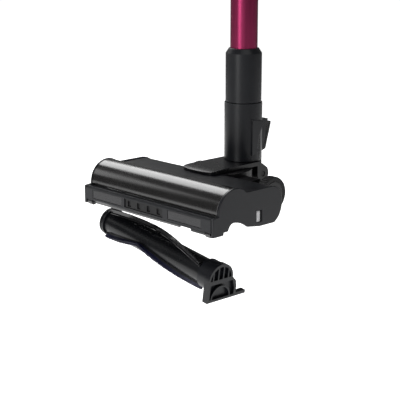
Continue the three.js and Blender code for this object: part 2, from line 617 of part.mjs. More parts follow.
function endBlock() {
  const x0 = ROLLER_RIGHT;
  const x1 = ROLLER_RIGHT + END_BLOCK_THICKNESS;
  const z0 = END_BLOCK_BOTTOM;
  const front = ARCH_Y - END_BLOCK_RADIUS;
  const depth = 4.5;
  const arch = [[front, z0], [END_BLOCK_REAR, z0], [END_BLOCK_REAR, z0 + 15], [END_BLOCK_REAR - 2, z0 + 23],
    [END_BLOCK_REAR - 7, z0 + 28], ...arcPoints(ARCH_Y, ARCH_Z, END_BLOCK_RADIUS, 0, 180, 16)];
  const plate = prismX(arch, x0, x1);
  const foot = box(x0 + 1, x1, ROLLER_Y, END_BLOCK_REAR + END_BLOCK_FOOT, z0, z0 + 4.5);
  const upper = arcPoints(ARCH_Y, ARCH_Z - 1, END_BLOCK_RADIUS - 3, 4, 176, 12);
  const lower = [[front + 4, z0 + 3.5], [END_BLOCK_REAR - 4, z0 + 3.5], [END_BLOCK_REAR - 4, z0 + 13],
    [END_BLOCK_REAR - 8, z0 + 25], [front + 4, z0 + 25]];
  const ribs = [-14, -5, 4, 13].map((y) => box(x0, x1, ARCH_Y + y - 1, ARCH_Y + y + 1, ARCH_Z - 4, 60));
  const hoop = [0, ARCH_Y + 2, z0 + 3.5];
  const arc = cut(rod('x', 17.5, x0, x1, hoop), rod('x', 15.5, x0 - 1, x1 + 1, hoop));
  const collar = cut(rod('x', ROLLER_RADIUS + RUN + WALL, x0 - COLLAR_REACH, x0 + 1, [0, ROLLER_Y, ROLLER_Z], 36),
    rod('x', ROLLER_RADIUS + RUN, x0 - COLLAR_REACH - 1, x0, [0, ROLLER_Y, ROLLER_Z], 36));
  return cut(join(plate, foot, collar), cut(prismX(upper, x1 - depth, x1 + 1), ...ribs),
    cut(prismX(lower, x1 - depth, x1 + 1), arc));
}

function brushAxle() {
  return rod('x', PIN_RADIUS, ROLLER_RIGHT - AXLE_REACH, ROLLER_RIGHT - GAP, [0, ROLLER_Y, ROLLER_Z], 20);
}

function brushTube() {
  const left = -ROLLER_LEFT + 9;
  const right = ROLLER_RIGHT - 4;
  const axis = [0, ROLLER_Y, ROLLER_Z];
  const bore = rod('x', ROLLER_RADIUS - ROLLER_WALL, left - 1, right + 1, axis);
  const web = rod('x', ROLLER_RADIUS - 1, right - 8, right, axis, 24);
  return cut(join(cut(rod('x', ROLLER_RADIUS, left, right, axis), bore), web),
    rod('x', PIN_RADIUS + GAP, right - 9, right + 1, axis, 20));
}

function brushCap() {
  const left = -ROLLER_LEFT;
  const axis = [0, ROLLER_Y, ROLLER_Z];
  const rim = join(rod('x', CAP_RADIUS - 0.5, left, left + 3, axis), rod('x', CAP_RADIUS - 3, left + 2, left + 6, axis),
    rod('x', CAP_RADIUS, left + 5, left + 8.7, axis),
    rod('x', ROLLER_RADIUS - ROLLER_WALL - GAP, left + 8, left + 16, axis, 24));
  return cut(rim, rod('x', COUPLING_RADIUS - 1, left - 1, left + 4, axis, 24));
}

// a strip wound one way along the roller to its apex and back again beyond it; `section` gives its
// outline as [radius, sideways] pairs, and `start` is where it stands at the apex, in degrees
function brushStrip(section, start) {
  const left = -ROLLER_LEFT + 9 + STRIP_MARGIN;
  const right = ROLLER_RIGHT - COLLAR_REACH - STRIP_MARGIN;
  const stations = [...steps(left, STRIP_APEX, 6), ...steps(STRIP_APEX, right, 9).slice(1)];
  return loft(stations.map((x) => section.map(([radius, sideways]) => {
    const angle = rad(start + STRIP_TWIST * Math.abs(x - STRIP_APEX)) + Math.asin(sideways / radius);
    return [x, ROLLER_Y + radius * Math.cos(angle), ROLLER_Z + radius * Math.sin(angle)];
  })));
}

function steps(from, to, count) {
  return Array.from({ length: count + 1 }, (_, i) => from + ((to - from) * i) / count);
}

function bristleSection() {
  const half = BRISTLE_THICKNESS / 2;
  const root = ROLLER_RADIUS + GAP * 2;
  return [[BRISTLE_RADIUS, -half], [BRISTLE_RADIUS, half], [root, half], [root, -half]];
}

// a low wide base with one blade standing on it
function finSection() {
  const half = FIN_THICKNESS / 2;
  const root = ROLLER_RADIUS + RUN;
  const base = root + 1.2;
  const side = [[root, 3.6], [base, 3.2], [base, half], [BRISTLE_RADIUS - 0.4, half * 0.6]];
  return [...side, ...side.map(([radius, sideways]) => [radius, -sideways]).reverse(), [root, 0]];
}

// the far axis that the brush bar turns about, so that its middle moves by DROP
function swing() {
  const axis = new THREE.Vector3(0, 1, -SWING_LEAN).normalize();
  const down = new THREE.Vector3(0, axis.z, -axis.y);
  const reach = DROP / (2 * Math.sin(rad(SWING_DEG / 2)));
  const turn = rad(DROP_TURN - 90 - SWING_DEG / 2);
  const middle = new THREE.Vector3(BRUSH_MIDDLE_X, ROLLER_Y, ROLLER_Z);
  const arm = new THREE.Vector3(reach * Math.cos(turn), 0, 0).addScaledVector(down, reach * Math.sin(turn));
  return { axis, pivot: middle.sub(arm) };
}

function brushBar() {
  const { axis, pivot } = swing();
  const hung = new THREE.Group();
  hung.position.copy(pivot);
  hung.quaternion.setFromAxisAngle(axis, rad(SWING_DEG));
  const seated = new THREE.Group();
  seated.position.copy(pivot).negate();
  hung.add(seated);
  piece(seated, 'brush_end_block', endBlock(), CHARCOAL);
  piece(seated, 'brush_axle', brushAxle(), STEEL);
  piece(seated, 'brush_tube', brushTube(), GREY);
  piece(seated, 'brush_cap', brushCap(), CHARCOAL);
  piece(seated, 'bristle_strip_a', brushStrip(bristleSection(), STRIP_STARTS.bristle_strip_a), BRISTLE);
  piece(seated, 'bristle_strip_b', brushStrip(bristleSection(), STRIP_STARTS.bristle_strip_b), BRISTLE);
  piece(seated, 'rubber_fin', brushStrip(finSection(), STRIP_STARTS.rubber_fin), RUBBER);
  return hung;
}

// ---------------------------------------------------------------- swivel joint
// the ring that turns in the turret: it hangs through the roof and widens under it
function swivelRing() {
  const flange = SPIGOT_RADIUS + 5;
  const under = DECK_TOP - WALL - RUN;
  const bore = SPIGOT_RADIUS - 4;
  const top = YOKE_BOTTOM - GAP;
  return lathe([[bore, under - 6], [flange, under - 6], [flange, under], [SPIGOT_RADIUS, under],
    [SPIGOT_RADIUS, top], [bore, top], [bore, under - 6]], 0, SWIVEL_Y, 36);
}

// the block's plan, with round front corners
function yokePlan() {
  const half = YOKE_WIDTH / 2;
  const shape = new THREE.Shape();
  shape.moveTo(-half, TILT_Y - 6);
  shape.lineTo(-half, YOKE_FRONT + YOKE_CORNER);
  shape.quadraticCurveTo(-half, YOKE_FRONT + 2, -half + YOKE_CORNER, YOKE_FRONT + 1.5);
  shape.quadraticCurveTo(0, YOKE_FRONT - 1.5, half - YOKE_CORNER, YOKE_FRONT + 1.5);
  shape.quadraticCurveTo(half, YOKE_FRONT + 2, half, YOKE_FRONT + YOKE_CORNER);
  shape.lineTo(half, TILT_Y - 6);
  return shape;
}

function swivelYoke() {
  const half = YOKE_WIDTH / 2;
  const slab = prismZ(yokePlan(), YOKE_BOTTOM, YOKE_TOP, 8);
  const crown = new THREE.Shape();
  crown.moveTo(YOKE_FRONT - 4, 0);
  crown.lineTo(TILT_Y + 40, 0);
  crown.lineTo(TILT_Y + 40, YOKE_TOP);
  crown.lineTo(YOKE_FRONT + 26, YOKE_TOP);
  crown.quadraticCurveTo(YOKE_FRONT + 8, YOKE_TOP, YOKE_FRONT - 4, YOKE_NOSE - 1.2);
  const block = slab.intersect(prismX(crown, -half - 1, half + 1, 6));
  const knuckle = rod('x', KNUCKLE_RADIUS, -half + 2, half - 2, [0, TILT_Y, TILT_Z], 28);
  const cheeks = prismX([[TILT_Y - KNUCKLE_RADIUS, TILT_Z], [TILT_Y + KNUCKLE_RADIUS, TILT_Z],
    [TILT_Y + KNUCKLE_RADIUS - 2, TILT_Z + 8], [TILT_Y - 6, YOKE_TOP - 1], [TILT_Y - 14, YOKE_TOP - 1],
    [TILT_Y - KNUCKLE_RADIUS, YOKE_BOTTOM]], -half + 2, half - 2);
  const tongueRoom = box(-TONGUE_WIDTH / 2 - RUN, TONGUE_WIDTH / 2 + RUN, TONGUE_FRONT - RUN, TILT_Y + 20, 0,
    YOKE_TOP + 10);
  const airway = box(-AIRWAY_HALF, AIRWAY_HALF, SWIVEL_Y - 10, TONGUE_FRONT, YOKE_BOTTOM - 2, YOKE_TOP + 2);
  const pinBore = rod('x', PIN_RADIUS + GAP, -half - 1, half + 1, [0, TILT_Y, TILT_Z], 20);
  const floorCut = box(-AIRWAY_HALF, AIRWAY_HALF, SWIVEL_Y - 12, NECK_Y - NECK_RADIUS + 6, YOKE_TOP - 2, YOKE_TOP + 3);
  return cut(join(block, knuckle, cheeks), tongueRoom, airway.subtract(floorCut), pinBore,
    rod('z', TURRET_RADIUS + RUN, 0, YOKE_BOTTOM - GAP, [0, SWIVEL_Y], 40));
}

function tiltPin() {
  const half = YOKE_WIDTH / 2 - 3;
  return rod('x', PIN_RADIUS, -half, half, [0, TILT_Y, TILT_Z], 20);
}

function swivelJoint() {
  const joint = new THREE.Group();
  piece(joint, 'swivel_ring', swivelRing(), GREY);
  piece(joint, 'swivel_yoke', swivelYoke(), GREY);
  piece(joint, 'tilt_pin', tiltPin(), STEEL);
  return joint;
}

// ---------------------------------------------------------------- neck
const TONGUE_FRONT = TILT_Y - KNUCKLE_RADIUS;
const AIRWAY_HALF = 13;
const PEDAL_PIN_Y = TILT_Y + 15.5;
const PEDAL_LEAN = 12.5; // how much further back the pedal's top stands than its foot

function latchHousing() {
  const half = HOUSING_WIDTH / 2;
  const front = NECK_Y - 10;
  const shape = new THREE.Shape();
  shape.moveTo(front, PEDAL_BOTTOM - 1);
  shape.lineTo(front + 18, PEDAL_BOTTOM + 5);
  shape.lineTo(front + 10, PEDAL_BOTTOM + 7);
  shape.quadraticCurveTo(front + 11, PEDAL_TOP - 14, front + 24, PEDAL_TOP + 3);
  shape.lineTo(front + 24, PEDAL_TOP + 6);
  shape.lineTo(front, PEDAL_TOP + 9);
  return prismX(shape, -half, half, 6);
}

// the block behind the neck that carries the pedal, and the space that the pedal stands in
const SEAT_REAR = PEDAL_PIN_Y - 4;
const SEAT_TOP = PEDAL_TOP + 2;

function pedalSeat() {
  const half = PEDAL_WIDTH / 2;
  return prismX([[NECK_Y, PEDAL_BOTTOM], [SEAT_REAR + 2, PEDAL_BOTTOM], [SEAT_REAR + PEDAL_LEAN - 3, SEAT_TOP],
    [SEAT_REAR + PEDAL_LEAN, SEAT_TOP], [SEAT_REAR + PEDAL_LEAN, SEAT_TOP + 3], [NECK_Y, SEAT_TOP + 6]],
  -half, half);
}

function pedalRoom() {
  const half = PEDAL_WIDTH / 2 + GAP;
  const rear = SEAT_REAR + 3 * PEDAL_LEAN;
  return prismX([[SEAT_REAR + 2, PEDAL_BOTTOM - 1], [SEAT_REAR + PEDAL_LEAN - 3, SEAT_TOP],
    [rear, SEAT_TOP], [rear, PEDAL_BOTTOM - 1]], -half, half);
}

const CATCH_Z = PEDAL_TOP - 8;

function neckTube() {
  const barrel = rod('z', NECK_RADIUS, NECK_BOTTOM, NECK_TOP, [0, NECK_Y], 40);
  const half = TONGUE_WIDTH / 2;
  const rear = TILT_Y + KNUCKLE_RADIUS;
  const tongue = join(
    rod('x', KNUCKLE_RADIUS, -half, half, [0, TILT_Y, TILT_Z], 24),
    prismX([[TONGUE_FRONT, NECK_BOTTOM + 3], [TONGUE_FRONT, TILT_Z + 3], [rear, TILT_Z], [rear, PEDAL_BOTTOM + 8],
      [TONGUE_FRONT, PEDAL_BOTTOM + 8]], -half, half),
  );
  const shell = join(barrel, latchHousing(), pedalSeat(), tongue);
  const bore = rod('z', BORE_RADIUS, NECK_BOTTOM + 9, NECK_TOP + 1, [0, NECK_Y]);
  const mouth = box(-AIRWAY_HALF, AIRWAY_HALF, NECK_Y - 17, TONGUE_FRONT, NECK_BOTTOM - 1, NECK_BOTTOM + 10);
  const pinBore = rod('x', PIN_RADIUS + GAP, -half - 1, half + 1, [0, TILT_Y, TILT_Z], 20);
  const latchSlot = box(-5, 5, NECK_Y + BORE_RADIUS - 3, PEDAL_PIN_Y + 20, CATCH_Z - 4, CATCH_Z + 4);
  return cut(shell, bore, mouth, pinBore, pedalRoom(), latchSlot);
}

// the pedal hinges at its foot; stepping on its top edge swings it back and draws the catch out
function releasePedal() {
  const half = PEDAL_WIDTH / 2 - 1;
  const foot = PEDAL_PIN_Y - 1.5;
  const outer = foot + PEDAL_THICKNESS;
  const body = prismX([[foot, PEDAL_BOTTOM], [outer + 1, PEDAL_BOTTOM + 2],
    [outer + PEDAL_LEAN - 1, PEDAL_TOP - 3], [outer + PEDAL_LEAN - 1, PEDAL_TOP],
    [foot + PEDAL_LEAN - 5.2, PEDAL_TOP], [foot + 1.5, PEDAL_BOTTOM + 8]], -half, half);
  const tip = NECK_Y + BORE_RADIUS - 1.4;
  const catchBar = box(-4, 4, tip, foot + PEDAL_LEAN, CATCH_Z - 2, CATCH_Z + 2);
  const holes = [0.42, 0.68].map((share) => rod('y', 2.2, foot, foot + 40,
    [half - 8, 0, PEDAL_BOTTOM + (PEDAL_TOP - PEDAL_BOTTOM) * share], 14));
  return cut(join(body, catchBar), ...holes);
}

function neck() {
  const group = new THREE.Group();
  piece(group, 'neck_tube', neckTube(), CHARCOAL);
  piece(group, 'release_pedal', releasePedal(), GREY);
  return group;
}

// ---------------------------------------------------------------- wand
function lowerSleeve() {
  const spigot = BORE_RADIUS - RUN / 2;
  const airway = spigot - 2;
  const socket = SLEEVE_TOP - SOCKET_DEPTH;
  const foot = SLEEVE_BOTTOM - SPIGOT_LENGTH;
  const sleeve = lathe([
    [spigot, foot], [spigot, SLEEVE_BOTTOM], [SLEEVE_RADIUS, SLEEVE_BOTTOM],
    [SLEEVE_RADIUS, SLEEVE_TOP - 7], [SLEEVE_RADIUS - 4.5, SLEEVE_TOP], [TUBE_RADIUS + GAP, SLEEVE_TOP],
    [TUBE_RADIUS + GAP, socket], [airway, socket], [airway, foot], [spigot, foot],
  ], 0, NECK_Y, 32);
  const catchSlot = box(-5, 5, NECK_Y, NECK_Y + SLEEVE_RADIUS, foot - 1, CATCH_Z + 4);
  return cut(sleeve, catchSlot);
}

function wandTube() {
  const bottom = SLEEVE_TOP - SOCKET_DEPTH + GAP;
  const top = COLLAR_BOTTOM + COLLAR_SOCKET - GAP;
  return tubeZ(TUBE_RADIUS, TUBE_RADIUS - TUBE_WALL, bottom, top, 0, NECK_Y, 40);
}

function upperCollar() {
  const top = COLLAR_BOTTOM + COLLAR_LENGTH;
  const spigot = BORE_RADIUS - RUN / 2;
  const airway = spigot - 2;
  const socket = COLLAR_BOTTOM + COLLAR_SOCKET;
  const body = lathe([
    [TUBE_RADIUS + GAP, COLLAR_BOTTOM], [COLLAR_RADIUS - 3, COLLAR_BOTTOM], [COLLAR_RADIUS, COLLAR_BOTTOM + 6],
    [COLLAR_RADIUS, top], [spigot, top], [spigot, top + SPIGOT_LENGTH], [airway, top + SPIGOT_LENGTH],
    [airway, socket], [TUBE_RADIUS + GAP, socket], [TUBE_RADIUS + GAP, COLLAR_BOTTOM],
  ], 0, NECK_Y, 36);
  const room = box(-8 - RUN, 8 + RUN, BUTTON_FRONT - RUN, NECK_Y + COLLAR_RADIUS + 1,
    COLLAR_BOTTOM + 34, COLLAR_BOTTOM + COLLAR_LENGTH - 2);
  return cut(body, room);
}

const BUTTON_FRONT = NECK_Y + COLLAR_RADIUS - 3.6;

function wandReleaseButton() {
  return box(-8, 8, BUTTON_FRONT + 2.2, NECK_Y + COLLAR_RADIUS + 2, COLLAR_BOTTOM + 34 + RUN,
    COLLAR_BOTTOM + COLLAR_LENGTH - 2 - RUN);
}

function wand() {
  const group = new THREE.Group();
  piece(group, 'wand_lower_sleeve', lowerSleeve(), CHARCOAL);
  piece(group, 'wand_tube', wandTube(), MAGENTA);
  piece(group, 'wand_upper_collar', upperCollar(), CHARCOAL);
  piece(group, 'wand_release_button', wandReleaseButton(), GREY);
  return group;
}

// ---------------------------------------------------------------- handset
const INLET_Z0 = BIN_TOP - 34;
const INLET_Z1 = BIN_TOP - 8;

function inletDuct() {
  const outer = rod('z', DUCT_RADIUS, DUCT_BOTTOM, DUCT_TOP, [0, NECK_Y], 36);
  const bore = rod('z', BORE_RADIUS, DUCT_BOTTOM - 1, DUCT_TOP - 3, [0, NECK_Y]);
  const stub = box(-14, 14, BIN_Y + BIN_RADIUS + GAP, NECK_Y - 18, INLET_Z0 - 2, INLET_Z1 + 2);
  const port = box(-12, 12, BIN_Y, NECK_Y, INLET_Z0, INLET_Z1);
  return cut(join(outer, stub), bore, port);
}

function dustBin() {
  const cup = tubeZ(BIN_RADIUS, BIN_RADIUS - BIN_WALL, BIN_BOTTOM, BIN_TOP, 0, BIN_Y, 40);
  return cut(cup, box(-12, 12, BIN_Y, BIN_Y + BIN_RADIUS + 1, INLET_Z0, INLET_Z1));
}

const LID_HINGE_Z = BIN_BOTTOM - 3;
const LID_HINGE_Y = BIN_Y - BIN_RADIUS - 3;

function binLid() {
  const plate = rod('z', BIN_RADIUS, BIN_BOTTOM - GAP - 3, BIN_BOTTOM - GAP, [0, BIN_Y], 40);
  const barrel = rod('x', 3, -9, 9, [0, LID_HINGE_Y, LID_HINGE_Z], 16);
  return join(plate, barrel, box(-9, 9, LID_HINGE_Y, LID_HINGE_Y + 8, BIN_BOTTOM - GAP - 3, BIN_BOTTOM - GAP));
}

function cycloneCone() {
  const top = BIN_TOP - 1;
  const foot = BIN_BOTTOM + 22;
  return lathe([
    [32, top], [32, top - 30], [16, foot], [14, foot], [30, top - 30], [30, top - 2], [22, top - 2],
    [22, top], [32, top],
  ], 0, BIN_Y, 32);
}

function preMotorFilter() {
  return tubeZ(34, 18, CASE_BOTTOM + 4, CASE_BOTTOM + 20, 0, BIN_Y);
}

function motorHousing() {
  const top = CASE_TOP;
  const inner = MOTOR_CASE_RADIUS - WALL;
  return lathe([
    [MOTOR_CASE_RADIUS - 3, CASE_BOTTOM], [MOTOR_CASE_RADIUS, CASE_BOTTOM + 5], [MOTOR_CASE_RADIUS, top - 12],
    [MOTOR_CASE_RADIUS - 6, top], [inner - 6, top], [inner - 6, top - 3], [inner, top - 12],
    [inner, CASE_BOTTOM + 5], [36, CASE_BOTTOM + 3.4], [36, CASE_BOTTOM], [MOTOR_CASE_RADIUS - 3, CASE_BOTTOM],
  ], 0, BIN_Y, 40);
}

const FAN_Z = CASE_BOTTOM + 26;

function impeller() {
  const hub = rod('z', 7, FAN_Z, FAN_Z + 12, [0, BIN_Y], 20);
  const disc = rod('z', IMPELLER_RADIUS, FAN_Z, FAN_Z + 2, [0, BIN_Y], 28);
  const blades = Array.from({ length: 7 }, (_, i) => box(0, IMPELLER_RADIUS - 1, -0.8, 0.8, FAN_Z + 1, FAN_Z + 10)
    .rotate([0, 0, (i * 360) / 7]).translate([0, BIN_Y, 0]));
  return cut(join(hub, disc, ...blades), rod('z', 3 + GAP, FAN_Z + 4, FAN_Z + 13, [0, BIN_Y], 16));
}

function suctionMotor() {
  const bottom = FAN_Z + 15;
  const can = rod('z', 26, bottom, bottom + 44, [0, BIN_Y], 28);
  const flange = rod('z', MOTOR_CASE_RADIUS - WALL - GAP, bottom + 10, bottom + 13, [0, BIN_Y], 36);
  const vents = Array.from({ length: 6 }, (_, i) => rod('z', 7, bottom + 9, bottom + 14, [37, 0], 16)
    .rotate([0, 0, i * 60]).translate([0, BIN_Y, 0]));
  return join(cut(join(can, flange), ...vents), rod('z', 3, FAN_Z + 6, bottom + 1, [0, BIN_Y], 16));
}

function exhaustCover() {
  const radius = MOTOR_CASE_RADIUS - WALL - 6 - GAP;
  const z = CASE_TOP - 4;
  const lid = lathe([[0, z], [radius, z], [radius, z + 4], [radius - 6, z + 9], [0, z + 11]], 0, BIN_Y, 36);
  const vents = Array.from({ length: 12 }, (_, i) => box(14, radius - 5, -1.5, 1.5, z - 1, z + 14)
    .rotate([0, 0, i * 30]).translate([0, BIN_Y, 0]));
  return cut(lid, ...vents);
}

// the loop handle: its outline in (y, z), with the finger opening cut through
function handle() {
  const half = HANDLE_THICKNESS / 2;
  const front = NECK_Y + DUCT_RADIUS + GAP;
  const top = CASE_TOP - 6;
  const shape = new THREE.Shape();
  shape.moveTo(front, HANDLE_BOTTOM);
  shape.lineTo(GRIP_REAR + 16, HANDLE_BOTTOM);
  shape.lineTo(GRIP_REAR + 16, HANDLE_BOTTOM + 44);
  shape.quadraticCurveTo(GRIP_REAR - 2, HANDLE_BOTTOM + 70, GRIP_REAR - 8, top - 34);
  shape.quadraticCurveTo(GRIP_REAR - 12, top, GRIP_REAR - 40, top);
  shape.lineTo(BIN_Y + 30, top);
  shape.lineTo(BIN_Y + 30, top - 26);
  shape.lineTo(front, top - 36);
  const hole = new THREE.Path();
  hole.moveTo(front + 30, HANDLE_BOTTOM + 30);
  hole.lineTo(GRIP_REAR - 24, HANDLE_BOTTOM + 30);
  hole.quadraticCurveTo(GRIP_REAR - 34, HANDLE_BOTTOM + 60, GRIP_REAR - 38, top - 36);
  hole.quadraticCurveTo(GRIP_REAR - 42, top - 26, GRIP_REAR - 52, top - 26);
  hole.lineTo(front + 30, top - 34);
  shape.holes.push(hole);
  const body = prismX(shape, -half, half, 6);
  const seat = rod('z', MOTOR_CASE_RADIUS + GAP, CASE_BOTTOM - 2, CASE_TOP - 12, [0, BIN_Y], 40);
  const neckSeat = rod('z', DUCT_RADIUS + GAP, DUCT_BOTTOM, DUCT_TOP + GAP, [0, NECK_Y], 36);
  const cone = lathe([[0, CASE_TOP - 12], [MOTOR_CASE_RADIUS + GAP, CASE_TOP - 12],
    [MOTOR_CASE_RADIUS - 6 + GAP, CASE_TOP + GAP], [0, CASE_TOP + GAP]], 0, BIN_Y, 40);
  return cut(body, seat, neckSeat, cone, triggerRoom(), modeRoom());
}

const TRIGGER_Z = CASE_TOP - 56;
const TRIGGER_Y = GRIP_REAR - 35; // front face of the grip at the trigger

function triggerRoom() {
  return box(-6 - RUN, 6 + RUN, TRIGGER_Y - 4, TRIGGER_Y + 12, TRIGGER_Z - 12 - RUN, TRIGGER_Z + 8 + RUN);
}

function powerTrigger() {
  return prismX([[TRIGGER_Y + 6, TRIGGER_Z - 12], [TRIGGER_Y + 6, TRIGGER_Z + 8], [TRIGGER_Y - 8, TRIGGER_Z + 6],
    [TRIGGER_Y - 5, TRIGGER_Z - 10]], -6, 6);
}

const MODE_Y = BIN_Y + MOTOR_CASE_RADIUS + 30;
const MODE_Z = CASE_TOP - 6;

function modeRoom() {
  const display = box(-11, 11, MODE_Y + 13, MODE_Y + 43, MODE_Z - 3, MODE_Z + 1);
  return join(rod('z', 6 + RUN, MODE_Z - 6, MODE_Z + 1, [0, MODE_Y], 20), display);
}

function modeButton() {
  return rod('z', 6, MODE_Z - 3.5, MODE_Z + 1.5, [0, MODE_Y], 20);
}

function displayLens() {
  return box(-11 + GAP, 11 - GAP, MODE_Y + 13 + GAP, MODE_Y + 43 - GAP, MODE_Z - 3 + GAP, MODE_Z + 0.5);
}

const BATTERY_FRONT = NECK_Y + DUCT_RADIUS + 8;
const BATTERY_REAR = GRIP_REAR + 16;

function batteryPack() {
  const half = BATTERY_WIDTH / 2;
  const plan = [[-half + 8, BATTERY_FRONT], [half - 8, BATTERY_FRONT], [half, BATTERY_FRONT + 8],
    [half, BATTERY_REAR - 8], [half - 8, BATTERY_REAR], [-half + 8, BATTERY_REAR], [-half, BATTERY_REAR - 8],
    [-half, BATTERY_FRONT + 8]];
  const body = prismZ(plan, BATTERY_TOP - BATTERY_HEIGHT, BATTERY_TOP);
  const room = box(half - 4, half + 1, BATTERY_MIDDLE - 9 - RUN, BATTERY_MIDDLE + 9 + RUN,
    BATTERY_TOP - 24 - RUN, BATTERY_TOP - 12 + RUN);
  return cut(body, room);
}

const BATTERY_MIDDLE = (BATTERY_FRONT + BATTERY_REAR) / 2;

function batteryButton() {
  const half = BATTERY_WIDTH / 2;
  return box(half - 1.8, half + 1.2, BATTERY_MIDDLE - 9, BATTERY_MIDDLE + 9, BATTERY_TOP - 24, BATTERY_TOP - 12);
}

function dockPlate() {
  const y = GRIP_REAR + 16 + GAP;
  const plate = box(-13, 13, y, y + 3, HANDLE_BOTTOM + 4, HANDLE_BOTTOM + 40);
  return plate;
}

function binRelease() {
  const x = MOTOR_CASE_RADIUS;
  return box(x - 0.6 + GAP * 3, x + 4, BIN_Y - 7, BIN_Y + 7, CASE_BOTTOM + 10, CASE_BOTTOM + 24);
}

function handset() {
  const group = new THREE.Group();
  piece(group, 'inlet_duct', inletDuct(), CHARCOAL);
  piece(group, 'dust_bin', dustBin(), CLEAR);
  piece(group, 'bin_lid', binLid(), CLEAR);
  piece(group, 'cyclone_cone', cycloneCone(), GREY);
  piece(group, 'pre_motor_filter', preMotorFilter(), FILTER);
  piece(group, 'motor_housing', motorHousing(), CHARCOAL);
  piece(group, 'impeller', impeller(), STEEL);
  piece(group, 'suction_motor', suctionMotor(), STEEL);
  piece(group, 'exhaust_cover', exhaustCover(), BLACK);
  piece(group, 'handle', handle(), CHARCOAL);
  piece(group, 'power_trigger', powerTrigger(), MAGENTA);
  piece(group, 'mode_button', modeButton(), GREY);
  piece(group, 'display_lens', displayLens(), LENS);
  piece(group, 'battery_pack', batteryPack(), CHARCOAL);
  piece(group, 'battery_button', batteryButton(), GREY);
  piece(group, 'dock_plate', dockPlate(), BLACK);
  piece(group, 'bin_release', binRelease(), MAGENTA);
  return group;
}

const vacuum = new THREE.Group();
vacuum.add(floorHead(), brushBar(), swivelJoint(), neck(), wand(), handset());
export default vacuum;
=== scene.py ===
import json
import math
import random

import bmesh
import bpy
from mathutils import Matrix, Vector


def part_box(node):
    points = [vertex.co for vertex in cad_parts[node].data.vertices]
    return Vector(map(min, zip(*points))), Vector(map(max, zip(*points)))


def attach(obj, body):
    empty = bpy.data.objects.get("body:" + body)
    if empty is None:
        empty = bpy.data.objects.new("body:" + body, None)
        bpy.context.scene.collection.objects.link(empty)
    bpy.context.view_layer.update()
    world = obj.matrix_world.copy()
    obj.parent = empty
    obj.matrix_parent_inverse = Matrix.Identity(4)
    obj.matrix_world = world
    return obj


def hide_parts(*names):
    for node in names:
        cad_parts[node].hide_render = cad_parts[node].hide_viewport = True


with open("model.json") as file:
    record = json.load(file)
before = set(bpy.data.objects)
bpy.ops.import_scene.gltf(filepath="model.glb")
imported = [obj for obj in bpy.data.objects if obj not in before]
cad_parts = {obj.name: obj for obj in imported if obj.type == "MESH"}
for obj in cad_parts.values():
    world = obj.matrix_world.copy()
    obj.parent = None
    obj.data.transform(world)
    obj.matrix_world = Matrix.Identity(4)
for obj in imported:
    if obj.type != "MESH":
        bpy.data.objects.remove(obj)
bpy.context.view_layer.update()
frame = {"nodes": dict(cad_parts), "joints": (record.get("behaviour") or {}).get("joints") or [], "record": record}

NODES = frame["nodes"]
SLOT_OF = {row["node"]: row["material_slot"] for row in frame["record"]["subparts"]}
JOINTS = {joint["name"]: joint for joint in frame["joints"]}
BODIES = frame["record"]["behaviour"]["bodies"]
BODY_OF = {node: body for body, members in BODIES.items() for node in members}

# ---------------------------------------------------------------- camera, floor and light

AZIMUTH = math.radians(46.35)
ELEVATION = math.radians(14.11)
DISTANCE = 1.54231
TARGET = Vector((0.04555, -0.030, 0.025))
LENS = 101.85
SENSOR_WIDTH = 36
FLOOR_Z = -0.30
FLOOR_SIZE = 5
FLOOR_GLOW = 0.8
BACKDROP_LIGHT = 1.05  # what the camera sees behind the vacuum
ROOM_LIGHT = 0.14  # what the vacuum gets from all round


def aim(thing, place, target):
    thing.location = place
    thing.rotation_euler = (target - place).to_track_quat("-Z", "Y").to_euler()


def add_camera():
    data = bpy.data.cameras.new("camera")
    data.lens = LENS
    data.sensor_width = SENSOR_WIDTH
    camera = bpy.data.objects.new("camera", data)
    bpy.context.scene.collection.objects.link(camera)
    flat = math.cos(ELEVATION)
    away = Vector((flat * math.sin(AZIMUTH), -flat * math.cos(AZIMUTH), math.sin(ELEVATION)))
    aim(camera, TARGET + away * DISTANCE, TARGET)
    bpy.context.scene.camera = camera


def softbox(name, place, width, height, power, target=(0, 0, 0.05)):
    data = bpy.data.lights.new(name, "AREA")
    data.shape = "RECTANGLE"
    data.size = width
    data.size_y = height
    data.energy = power
    light = bpy.data.objects.new(name, data)
    bpy.context.scene.collection.objects.link(light)
    aim(light, Vector(place), Vector(target))


def white_background(nodes, strength):
    made = nodes.new("ShaderNodeBackground")
    made.inputs["Color"].default_value = (1, 1, 1, 1)
    made.inputs["Strength"].default_value = strength
    return made


def add_world():
    world = bpy.data.worlds.new("studio")
    bpy.context.scene.world = world
    world.use_nodes = True
    nodes, links = world.node_tree.nodes, world.node_tree.links
    nodes.clear()
    seen = white_background(nodes, BACKDROP_LIGHT)
    room = white_background(nodes, ROOM_LIGHT)
    path = nodes.new("ShaderNodeLightPath")
    mix = nodes.new("ShaderNodeMixShader")
    out = nodes.new("ShaderNodeOutputWorld")
    links.new(path.outputs["Is Camera Ray"], mix.inputs["Fac"])
    links.new(room.outputs[0], mix.inputs[1])
    links.new(seen.outputs[0], mix.inputs[2])
    links.new(mix.outputs[0], out.inputs["Surface"])


def add_floor():
    bpy.ops.mesh.primitive_plane_add(size=FLOOR_SIZE, location=(0, 0, FLOOR_Z))
    floor = bpy.context.object
    floor.name = "floor"
    paint = plastic("floor_paint", (0.95, 0.95, 0.95), 0.9, grain=40, bump=0.0, vary=0.01)
    paint.node_tree.nodes["Principled BSDF"].inputs["Emission Strength"].default_value = FLOOR_GLOW
    floor.data.materials.append(paint)


# ---------------------------------------------------------------- materials

def tree(name):
    material = bpy.data.materials.new(name)
    material.use_nodes = True
    nodes, links = material.node_tree.nodes, material.node_tree.links
    shader = nodes["Principled BSDF"]
    place = nodes.new("ShaderNodeTexCoord")
    return material, nodes, links, shader, place


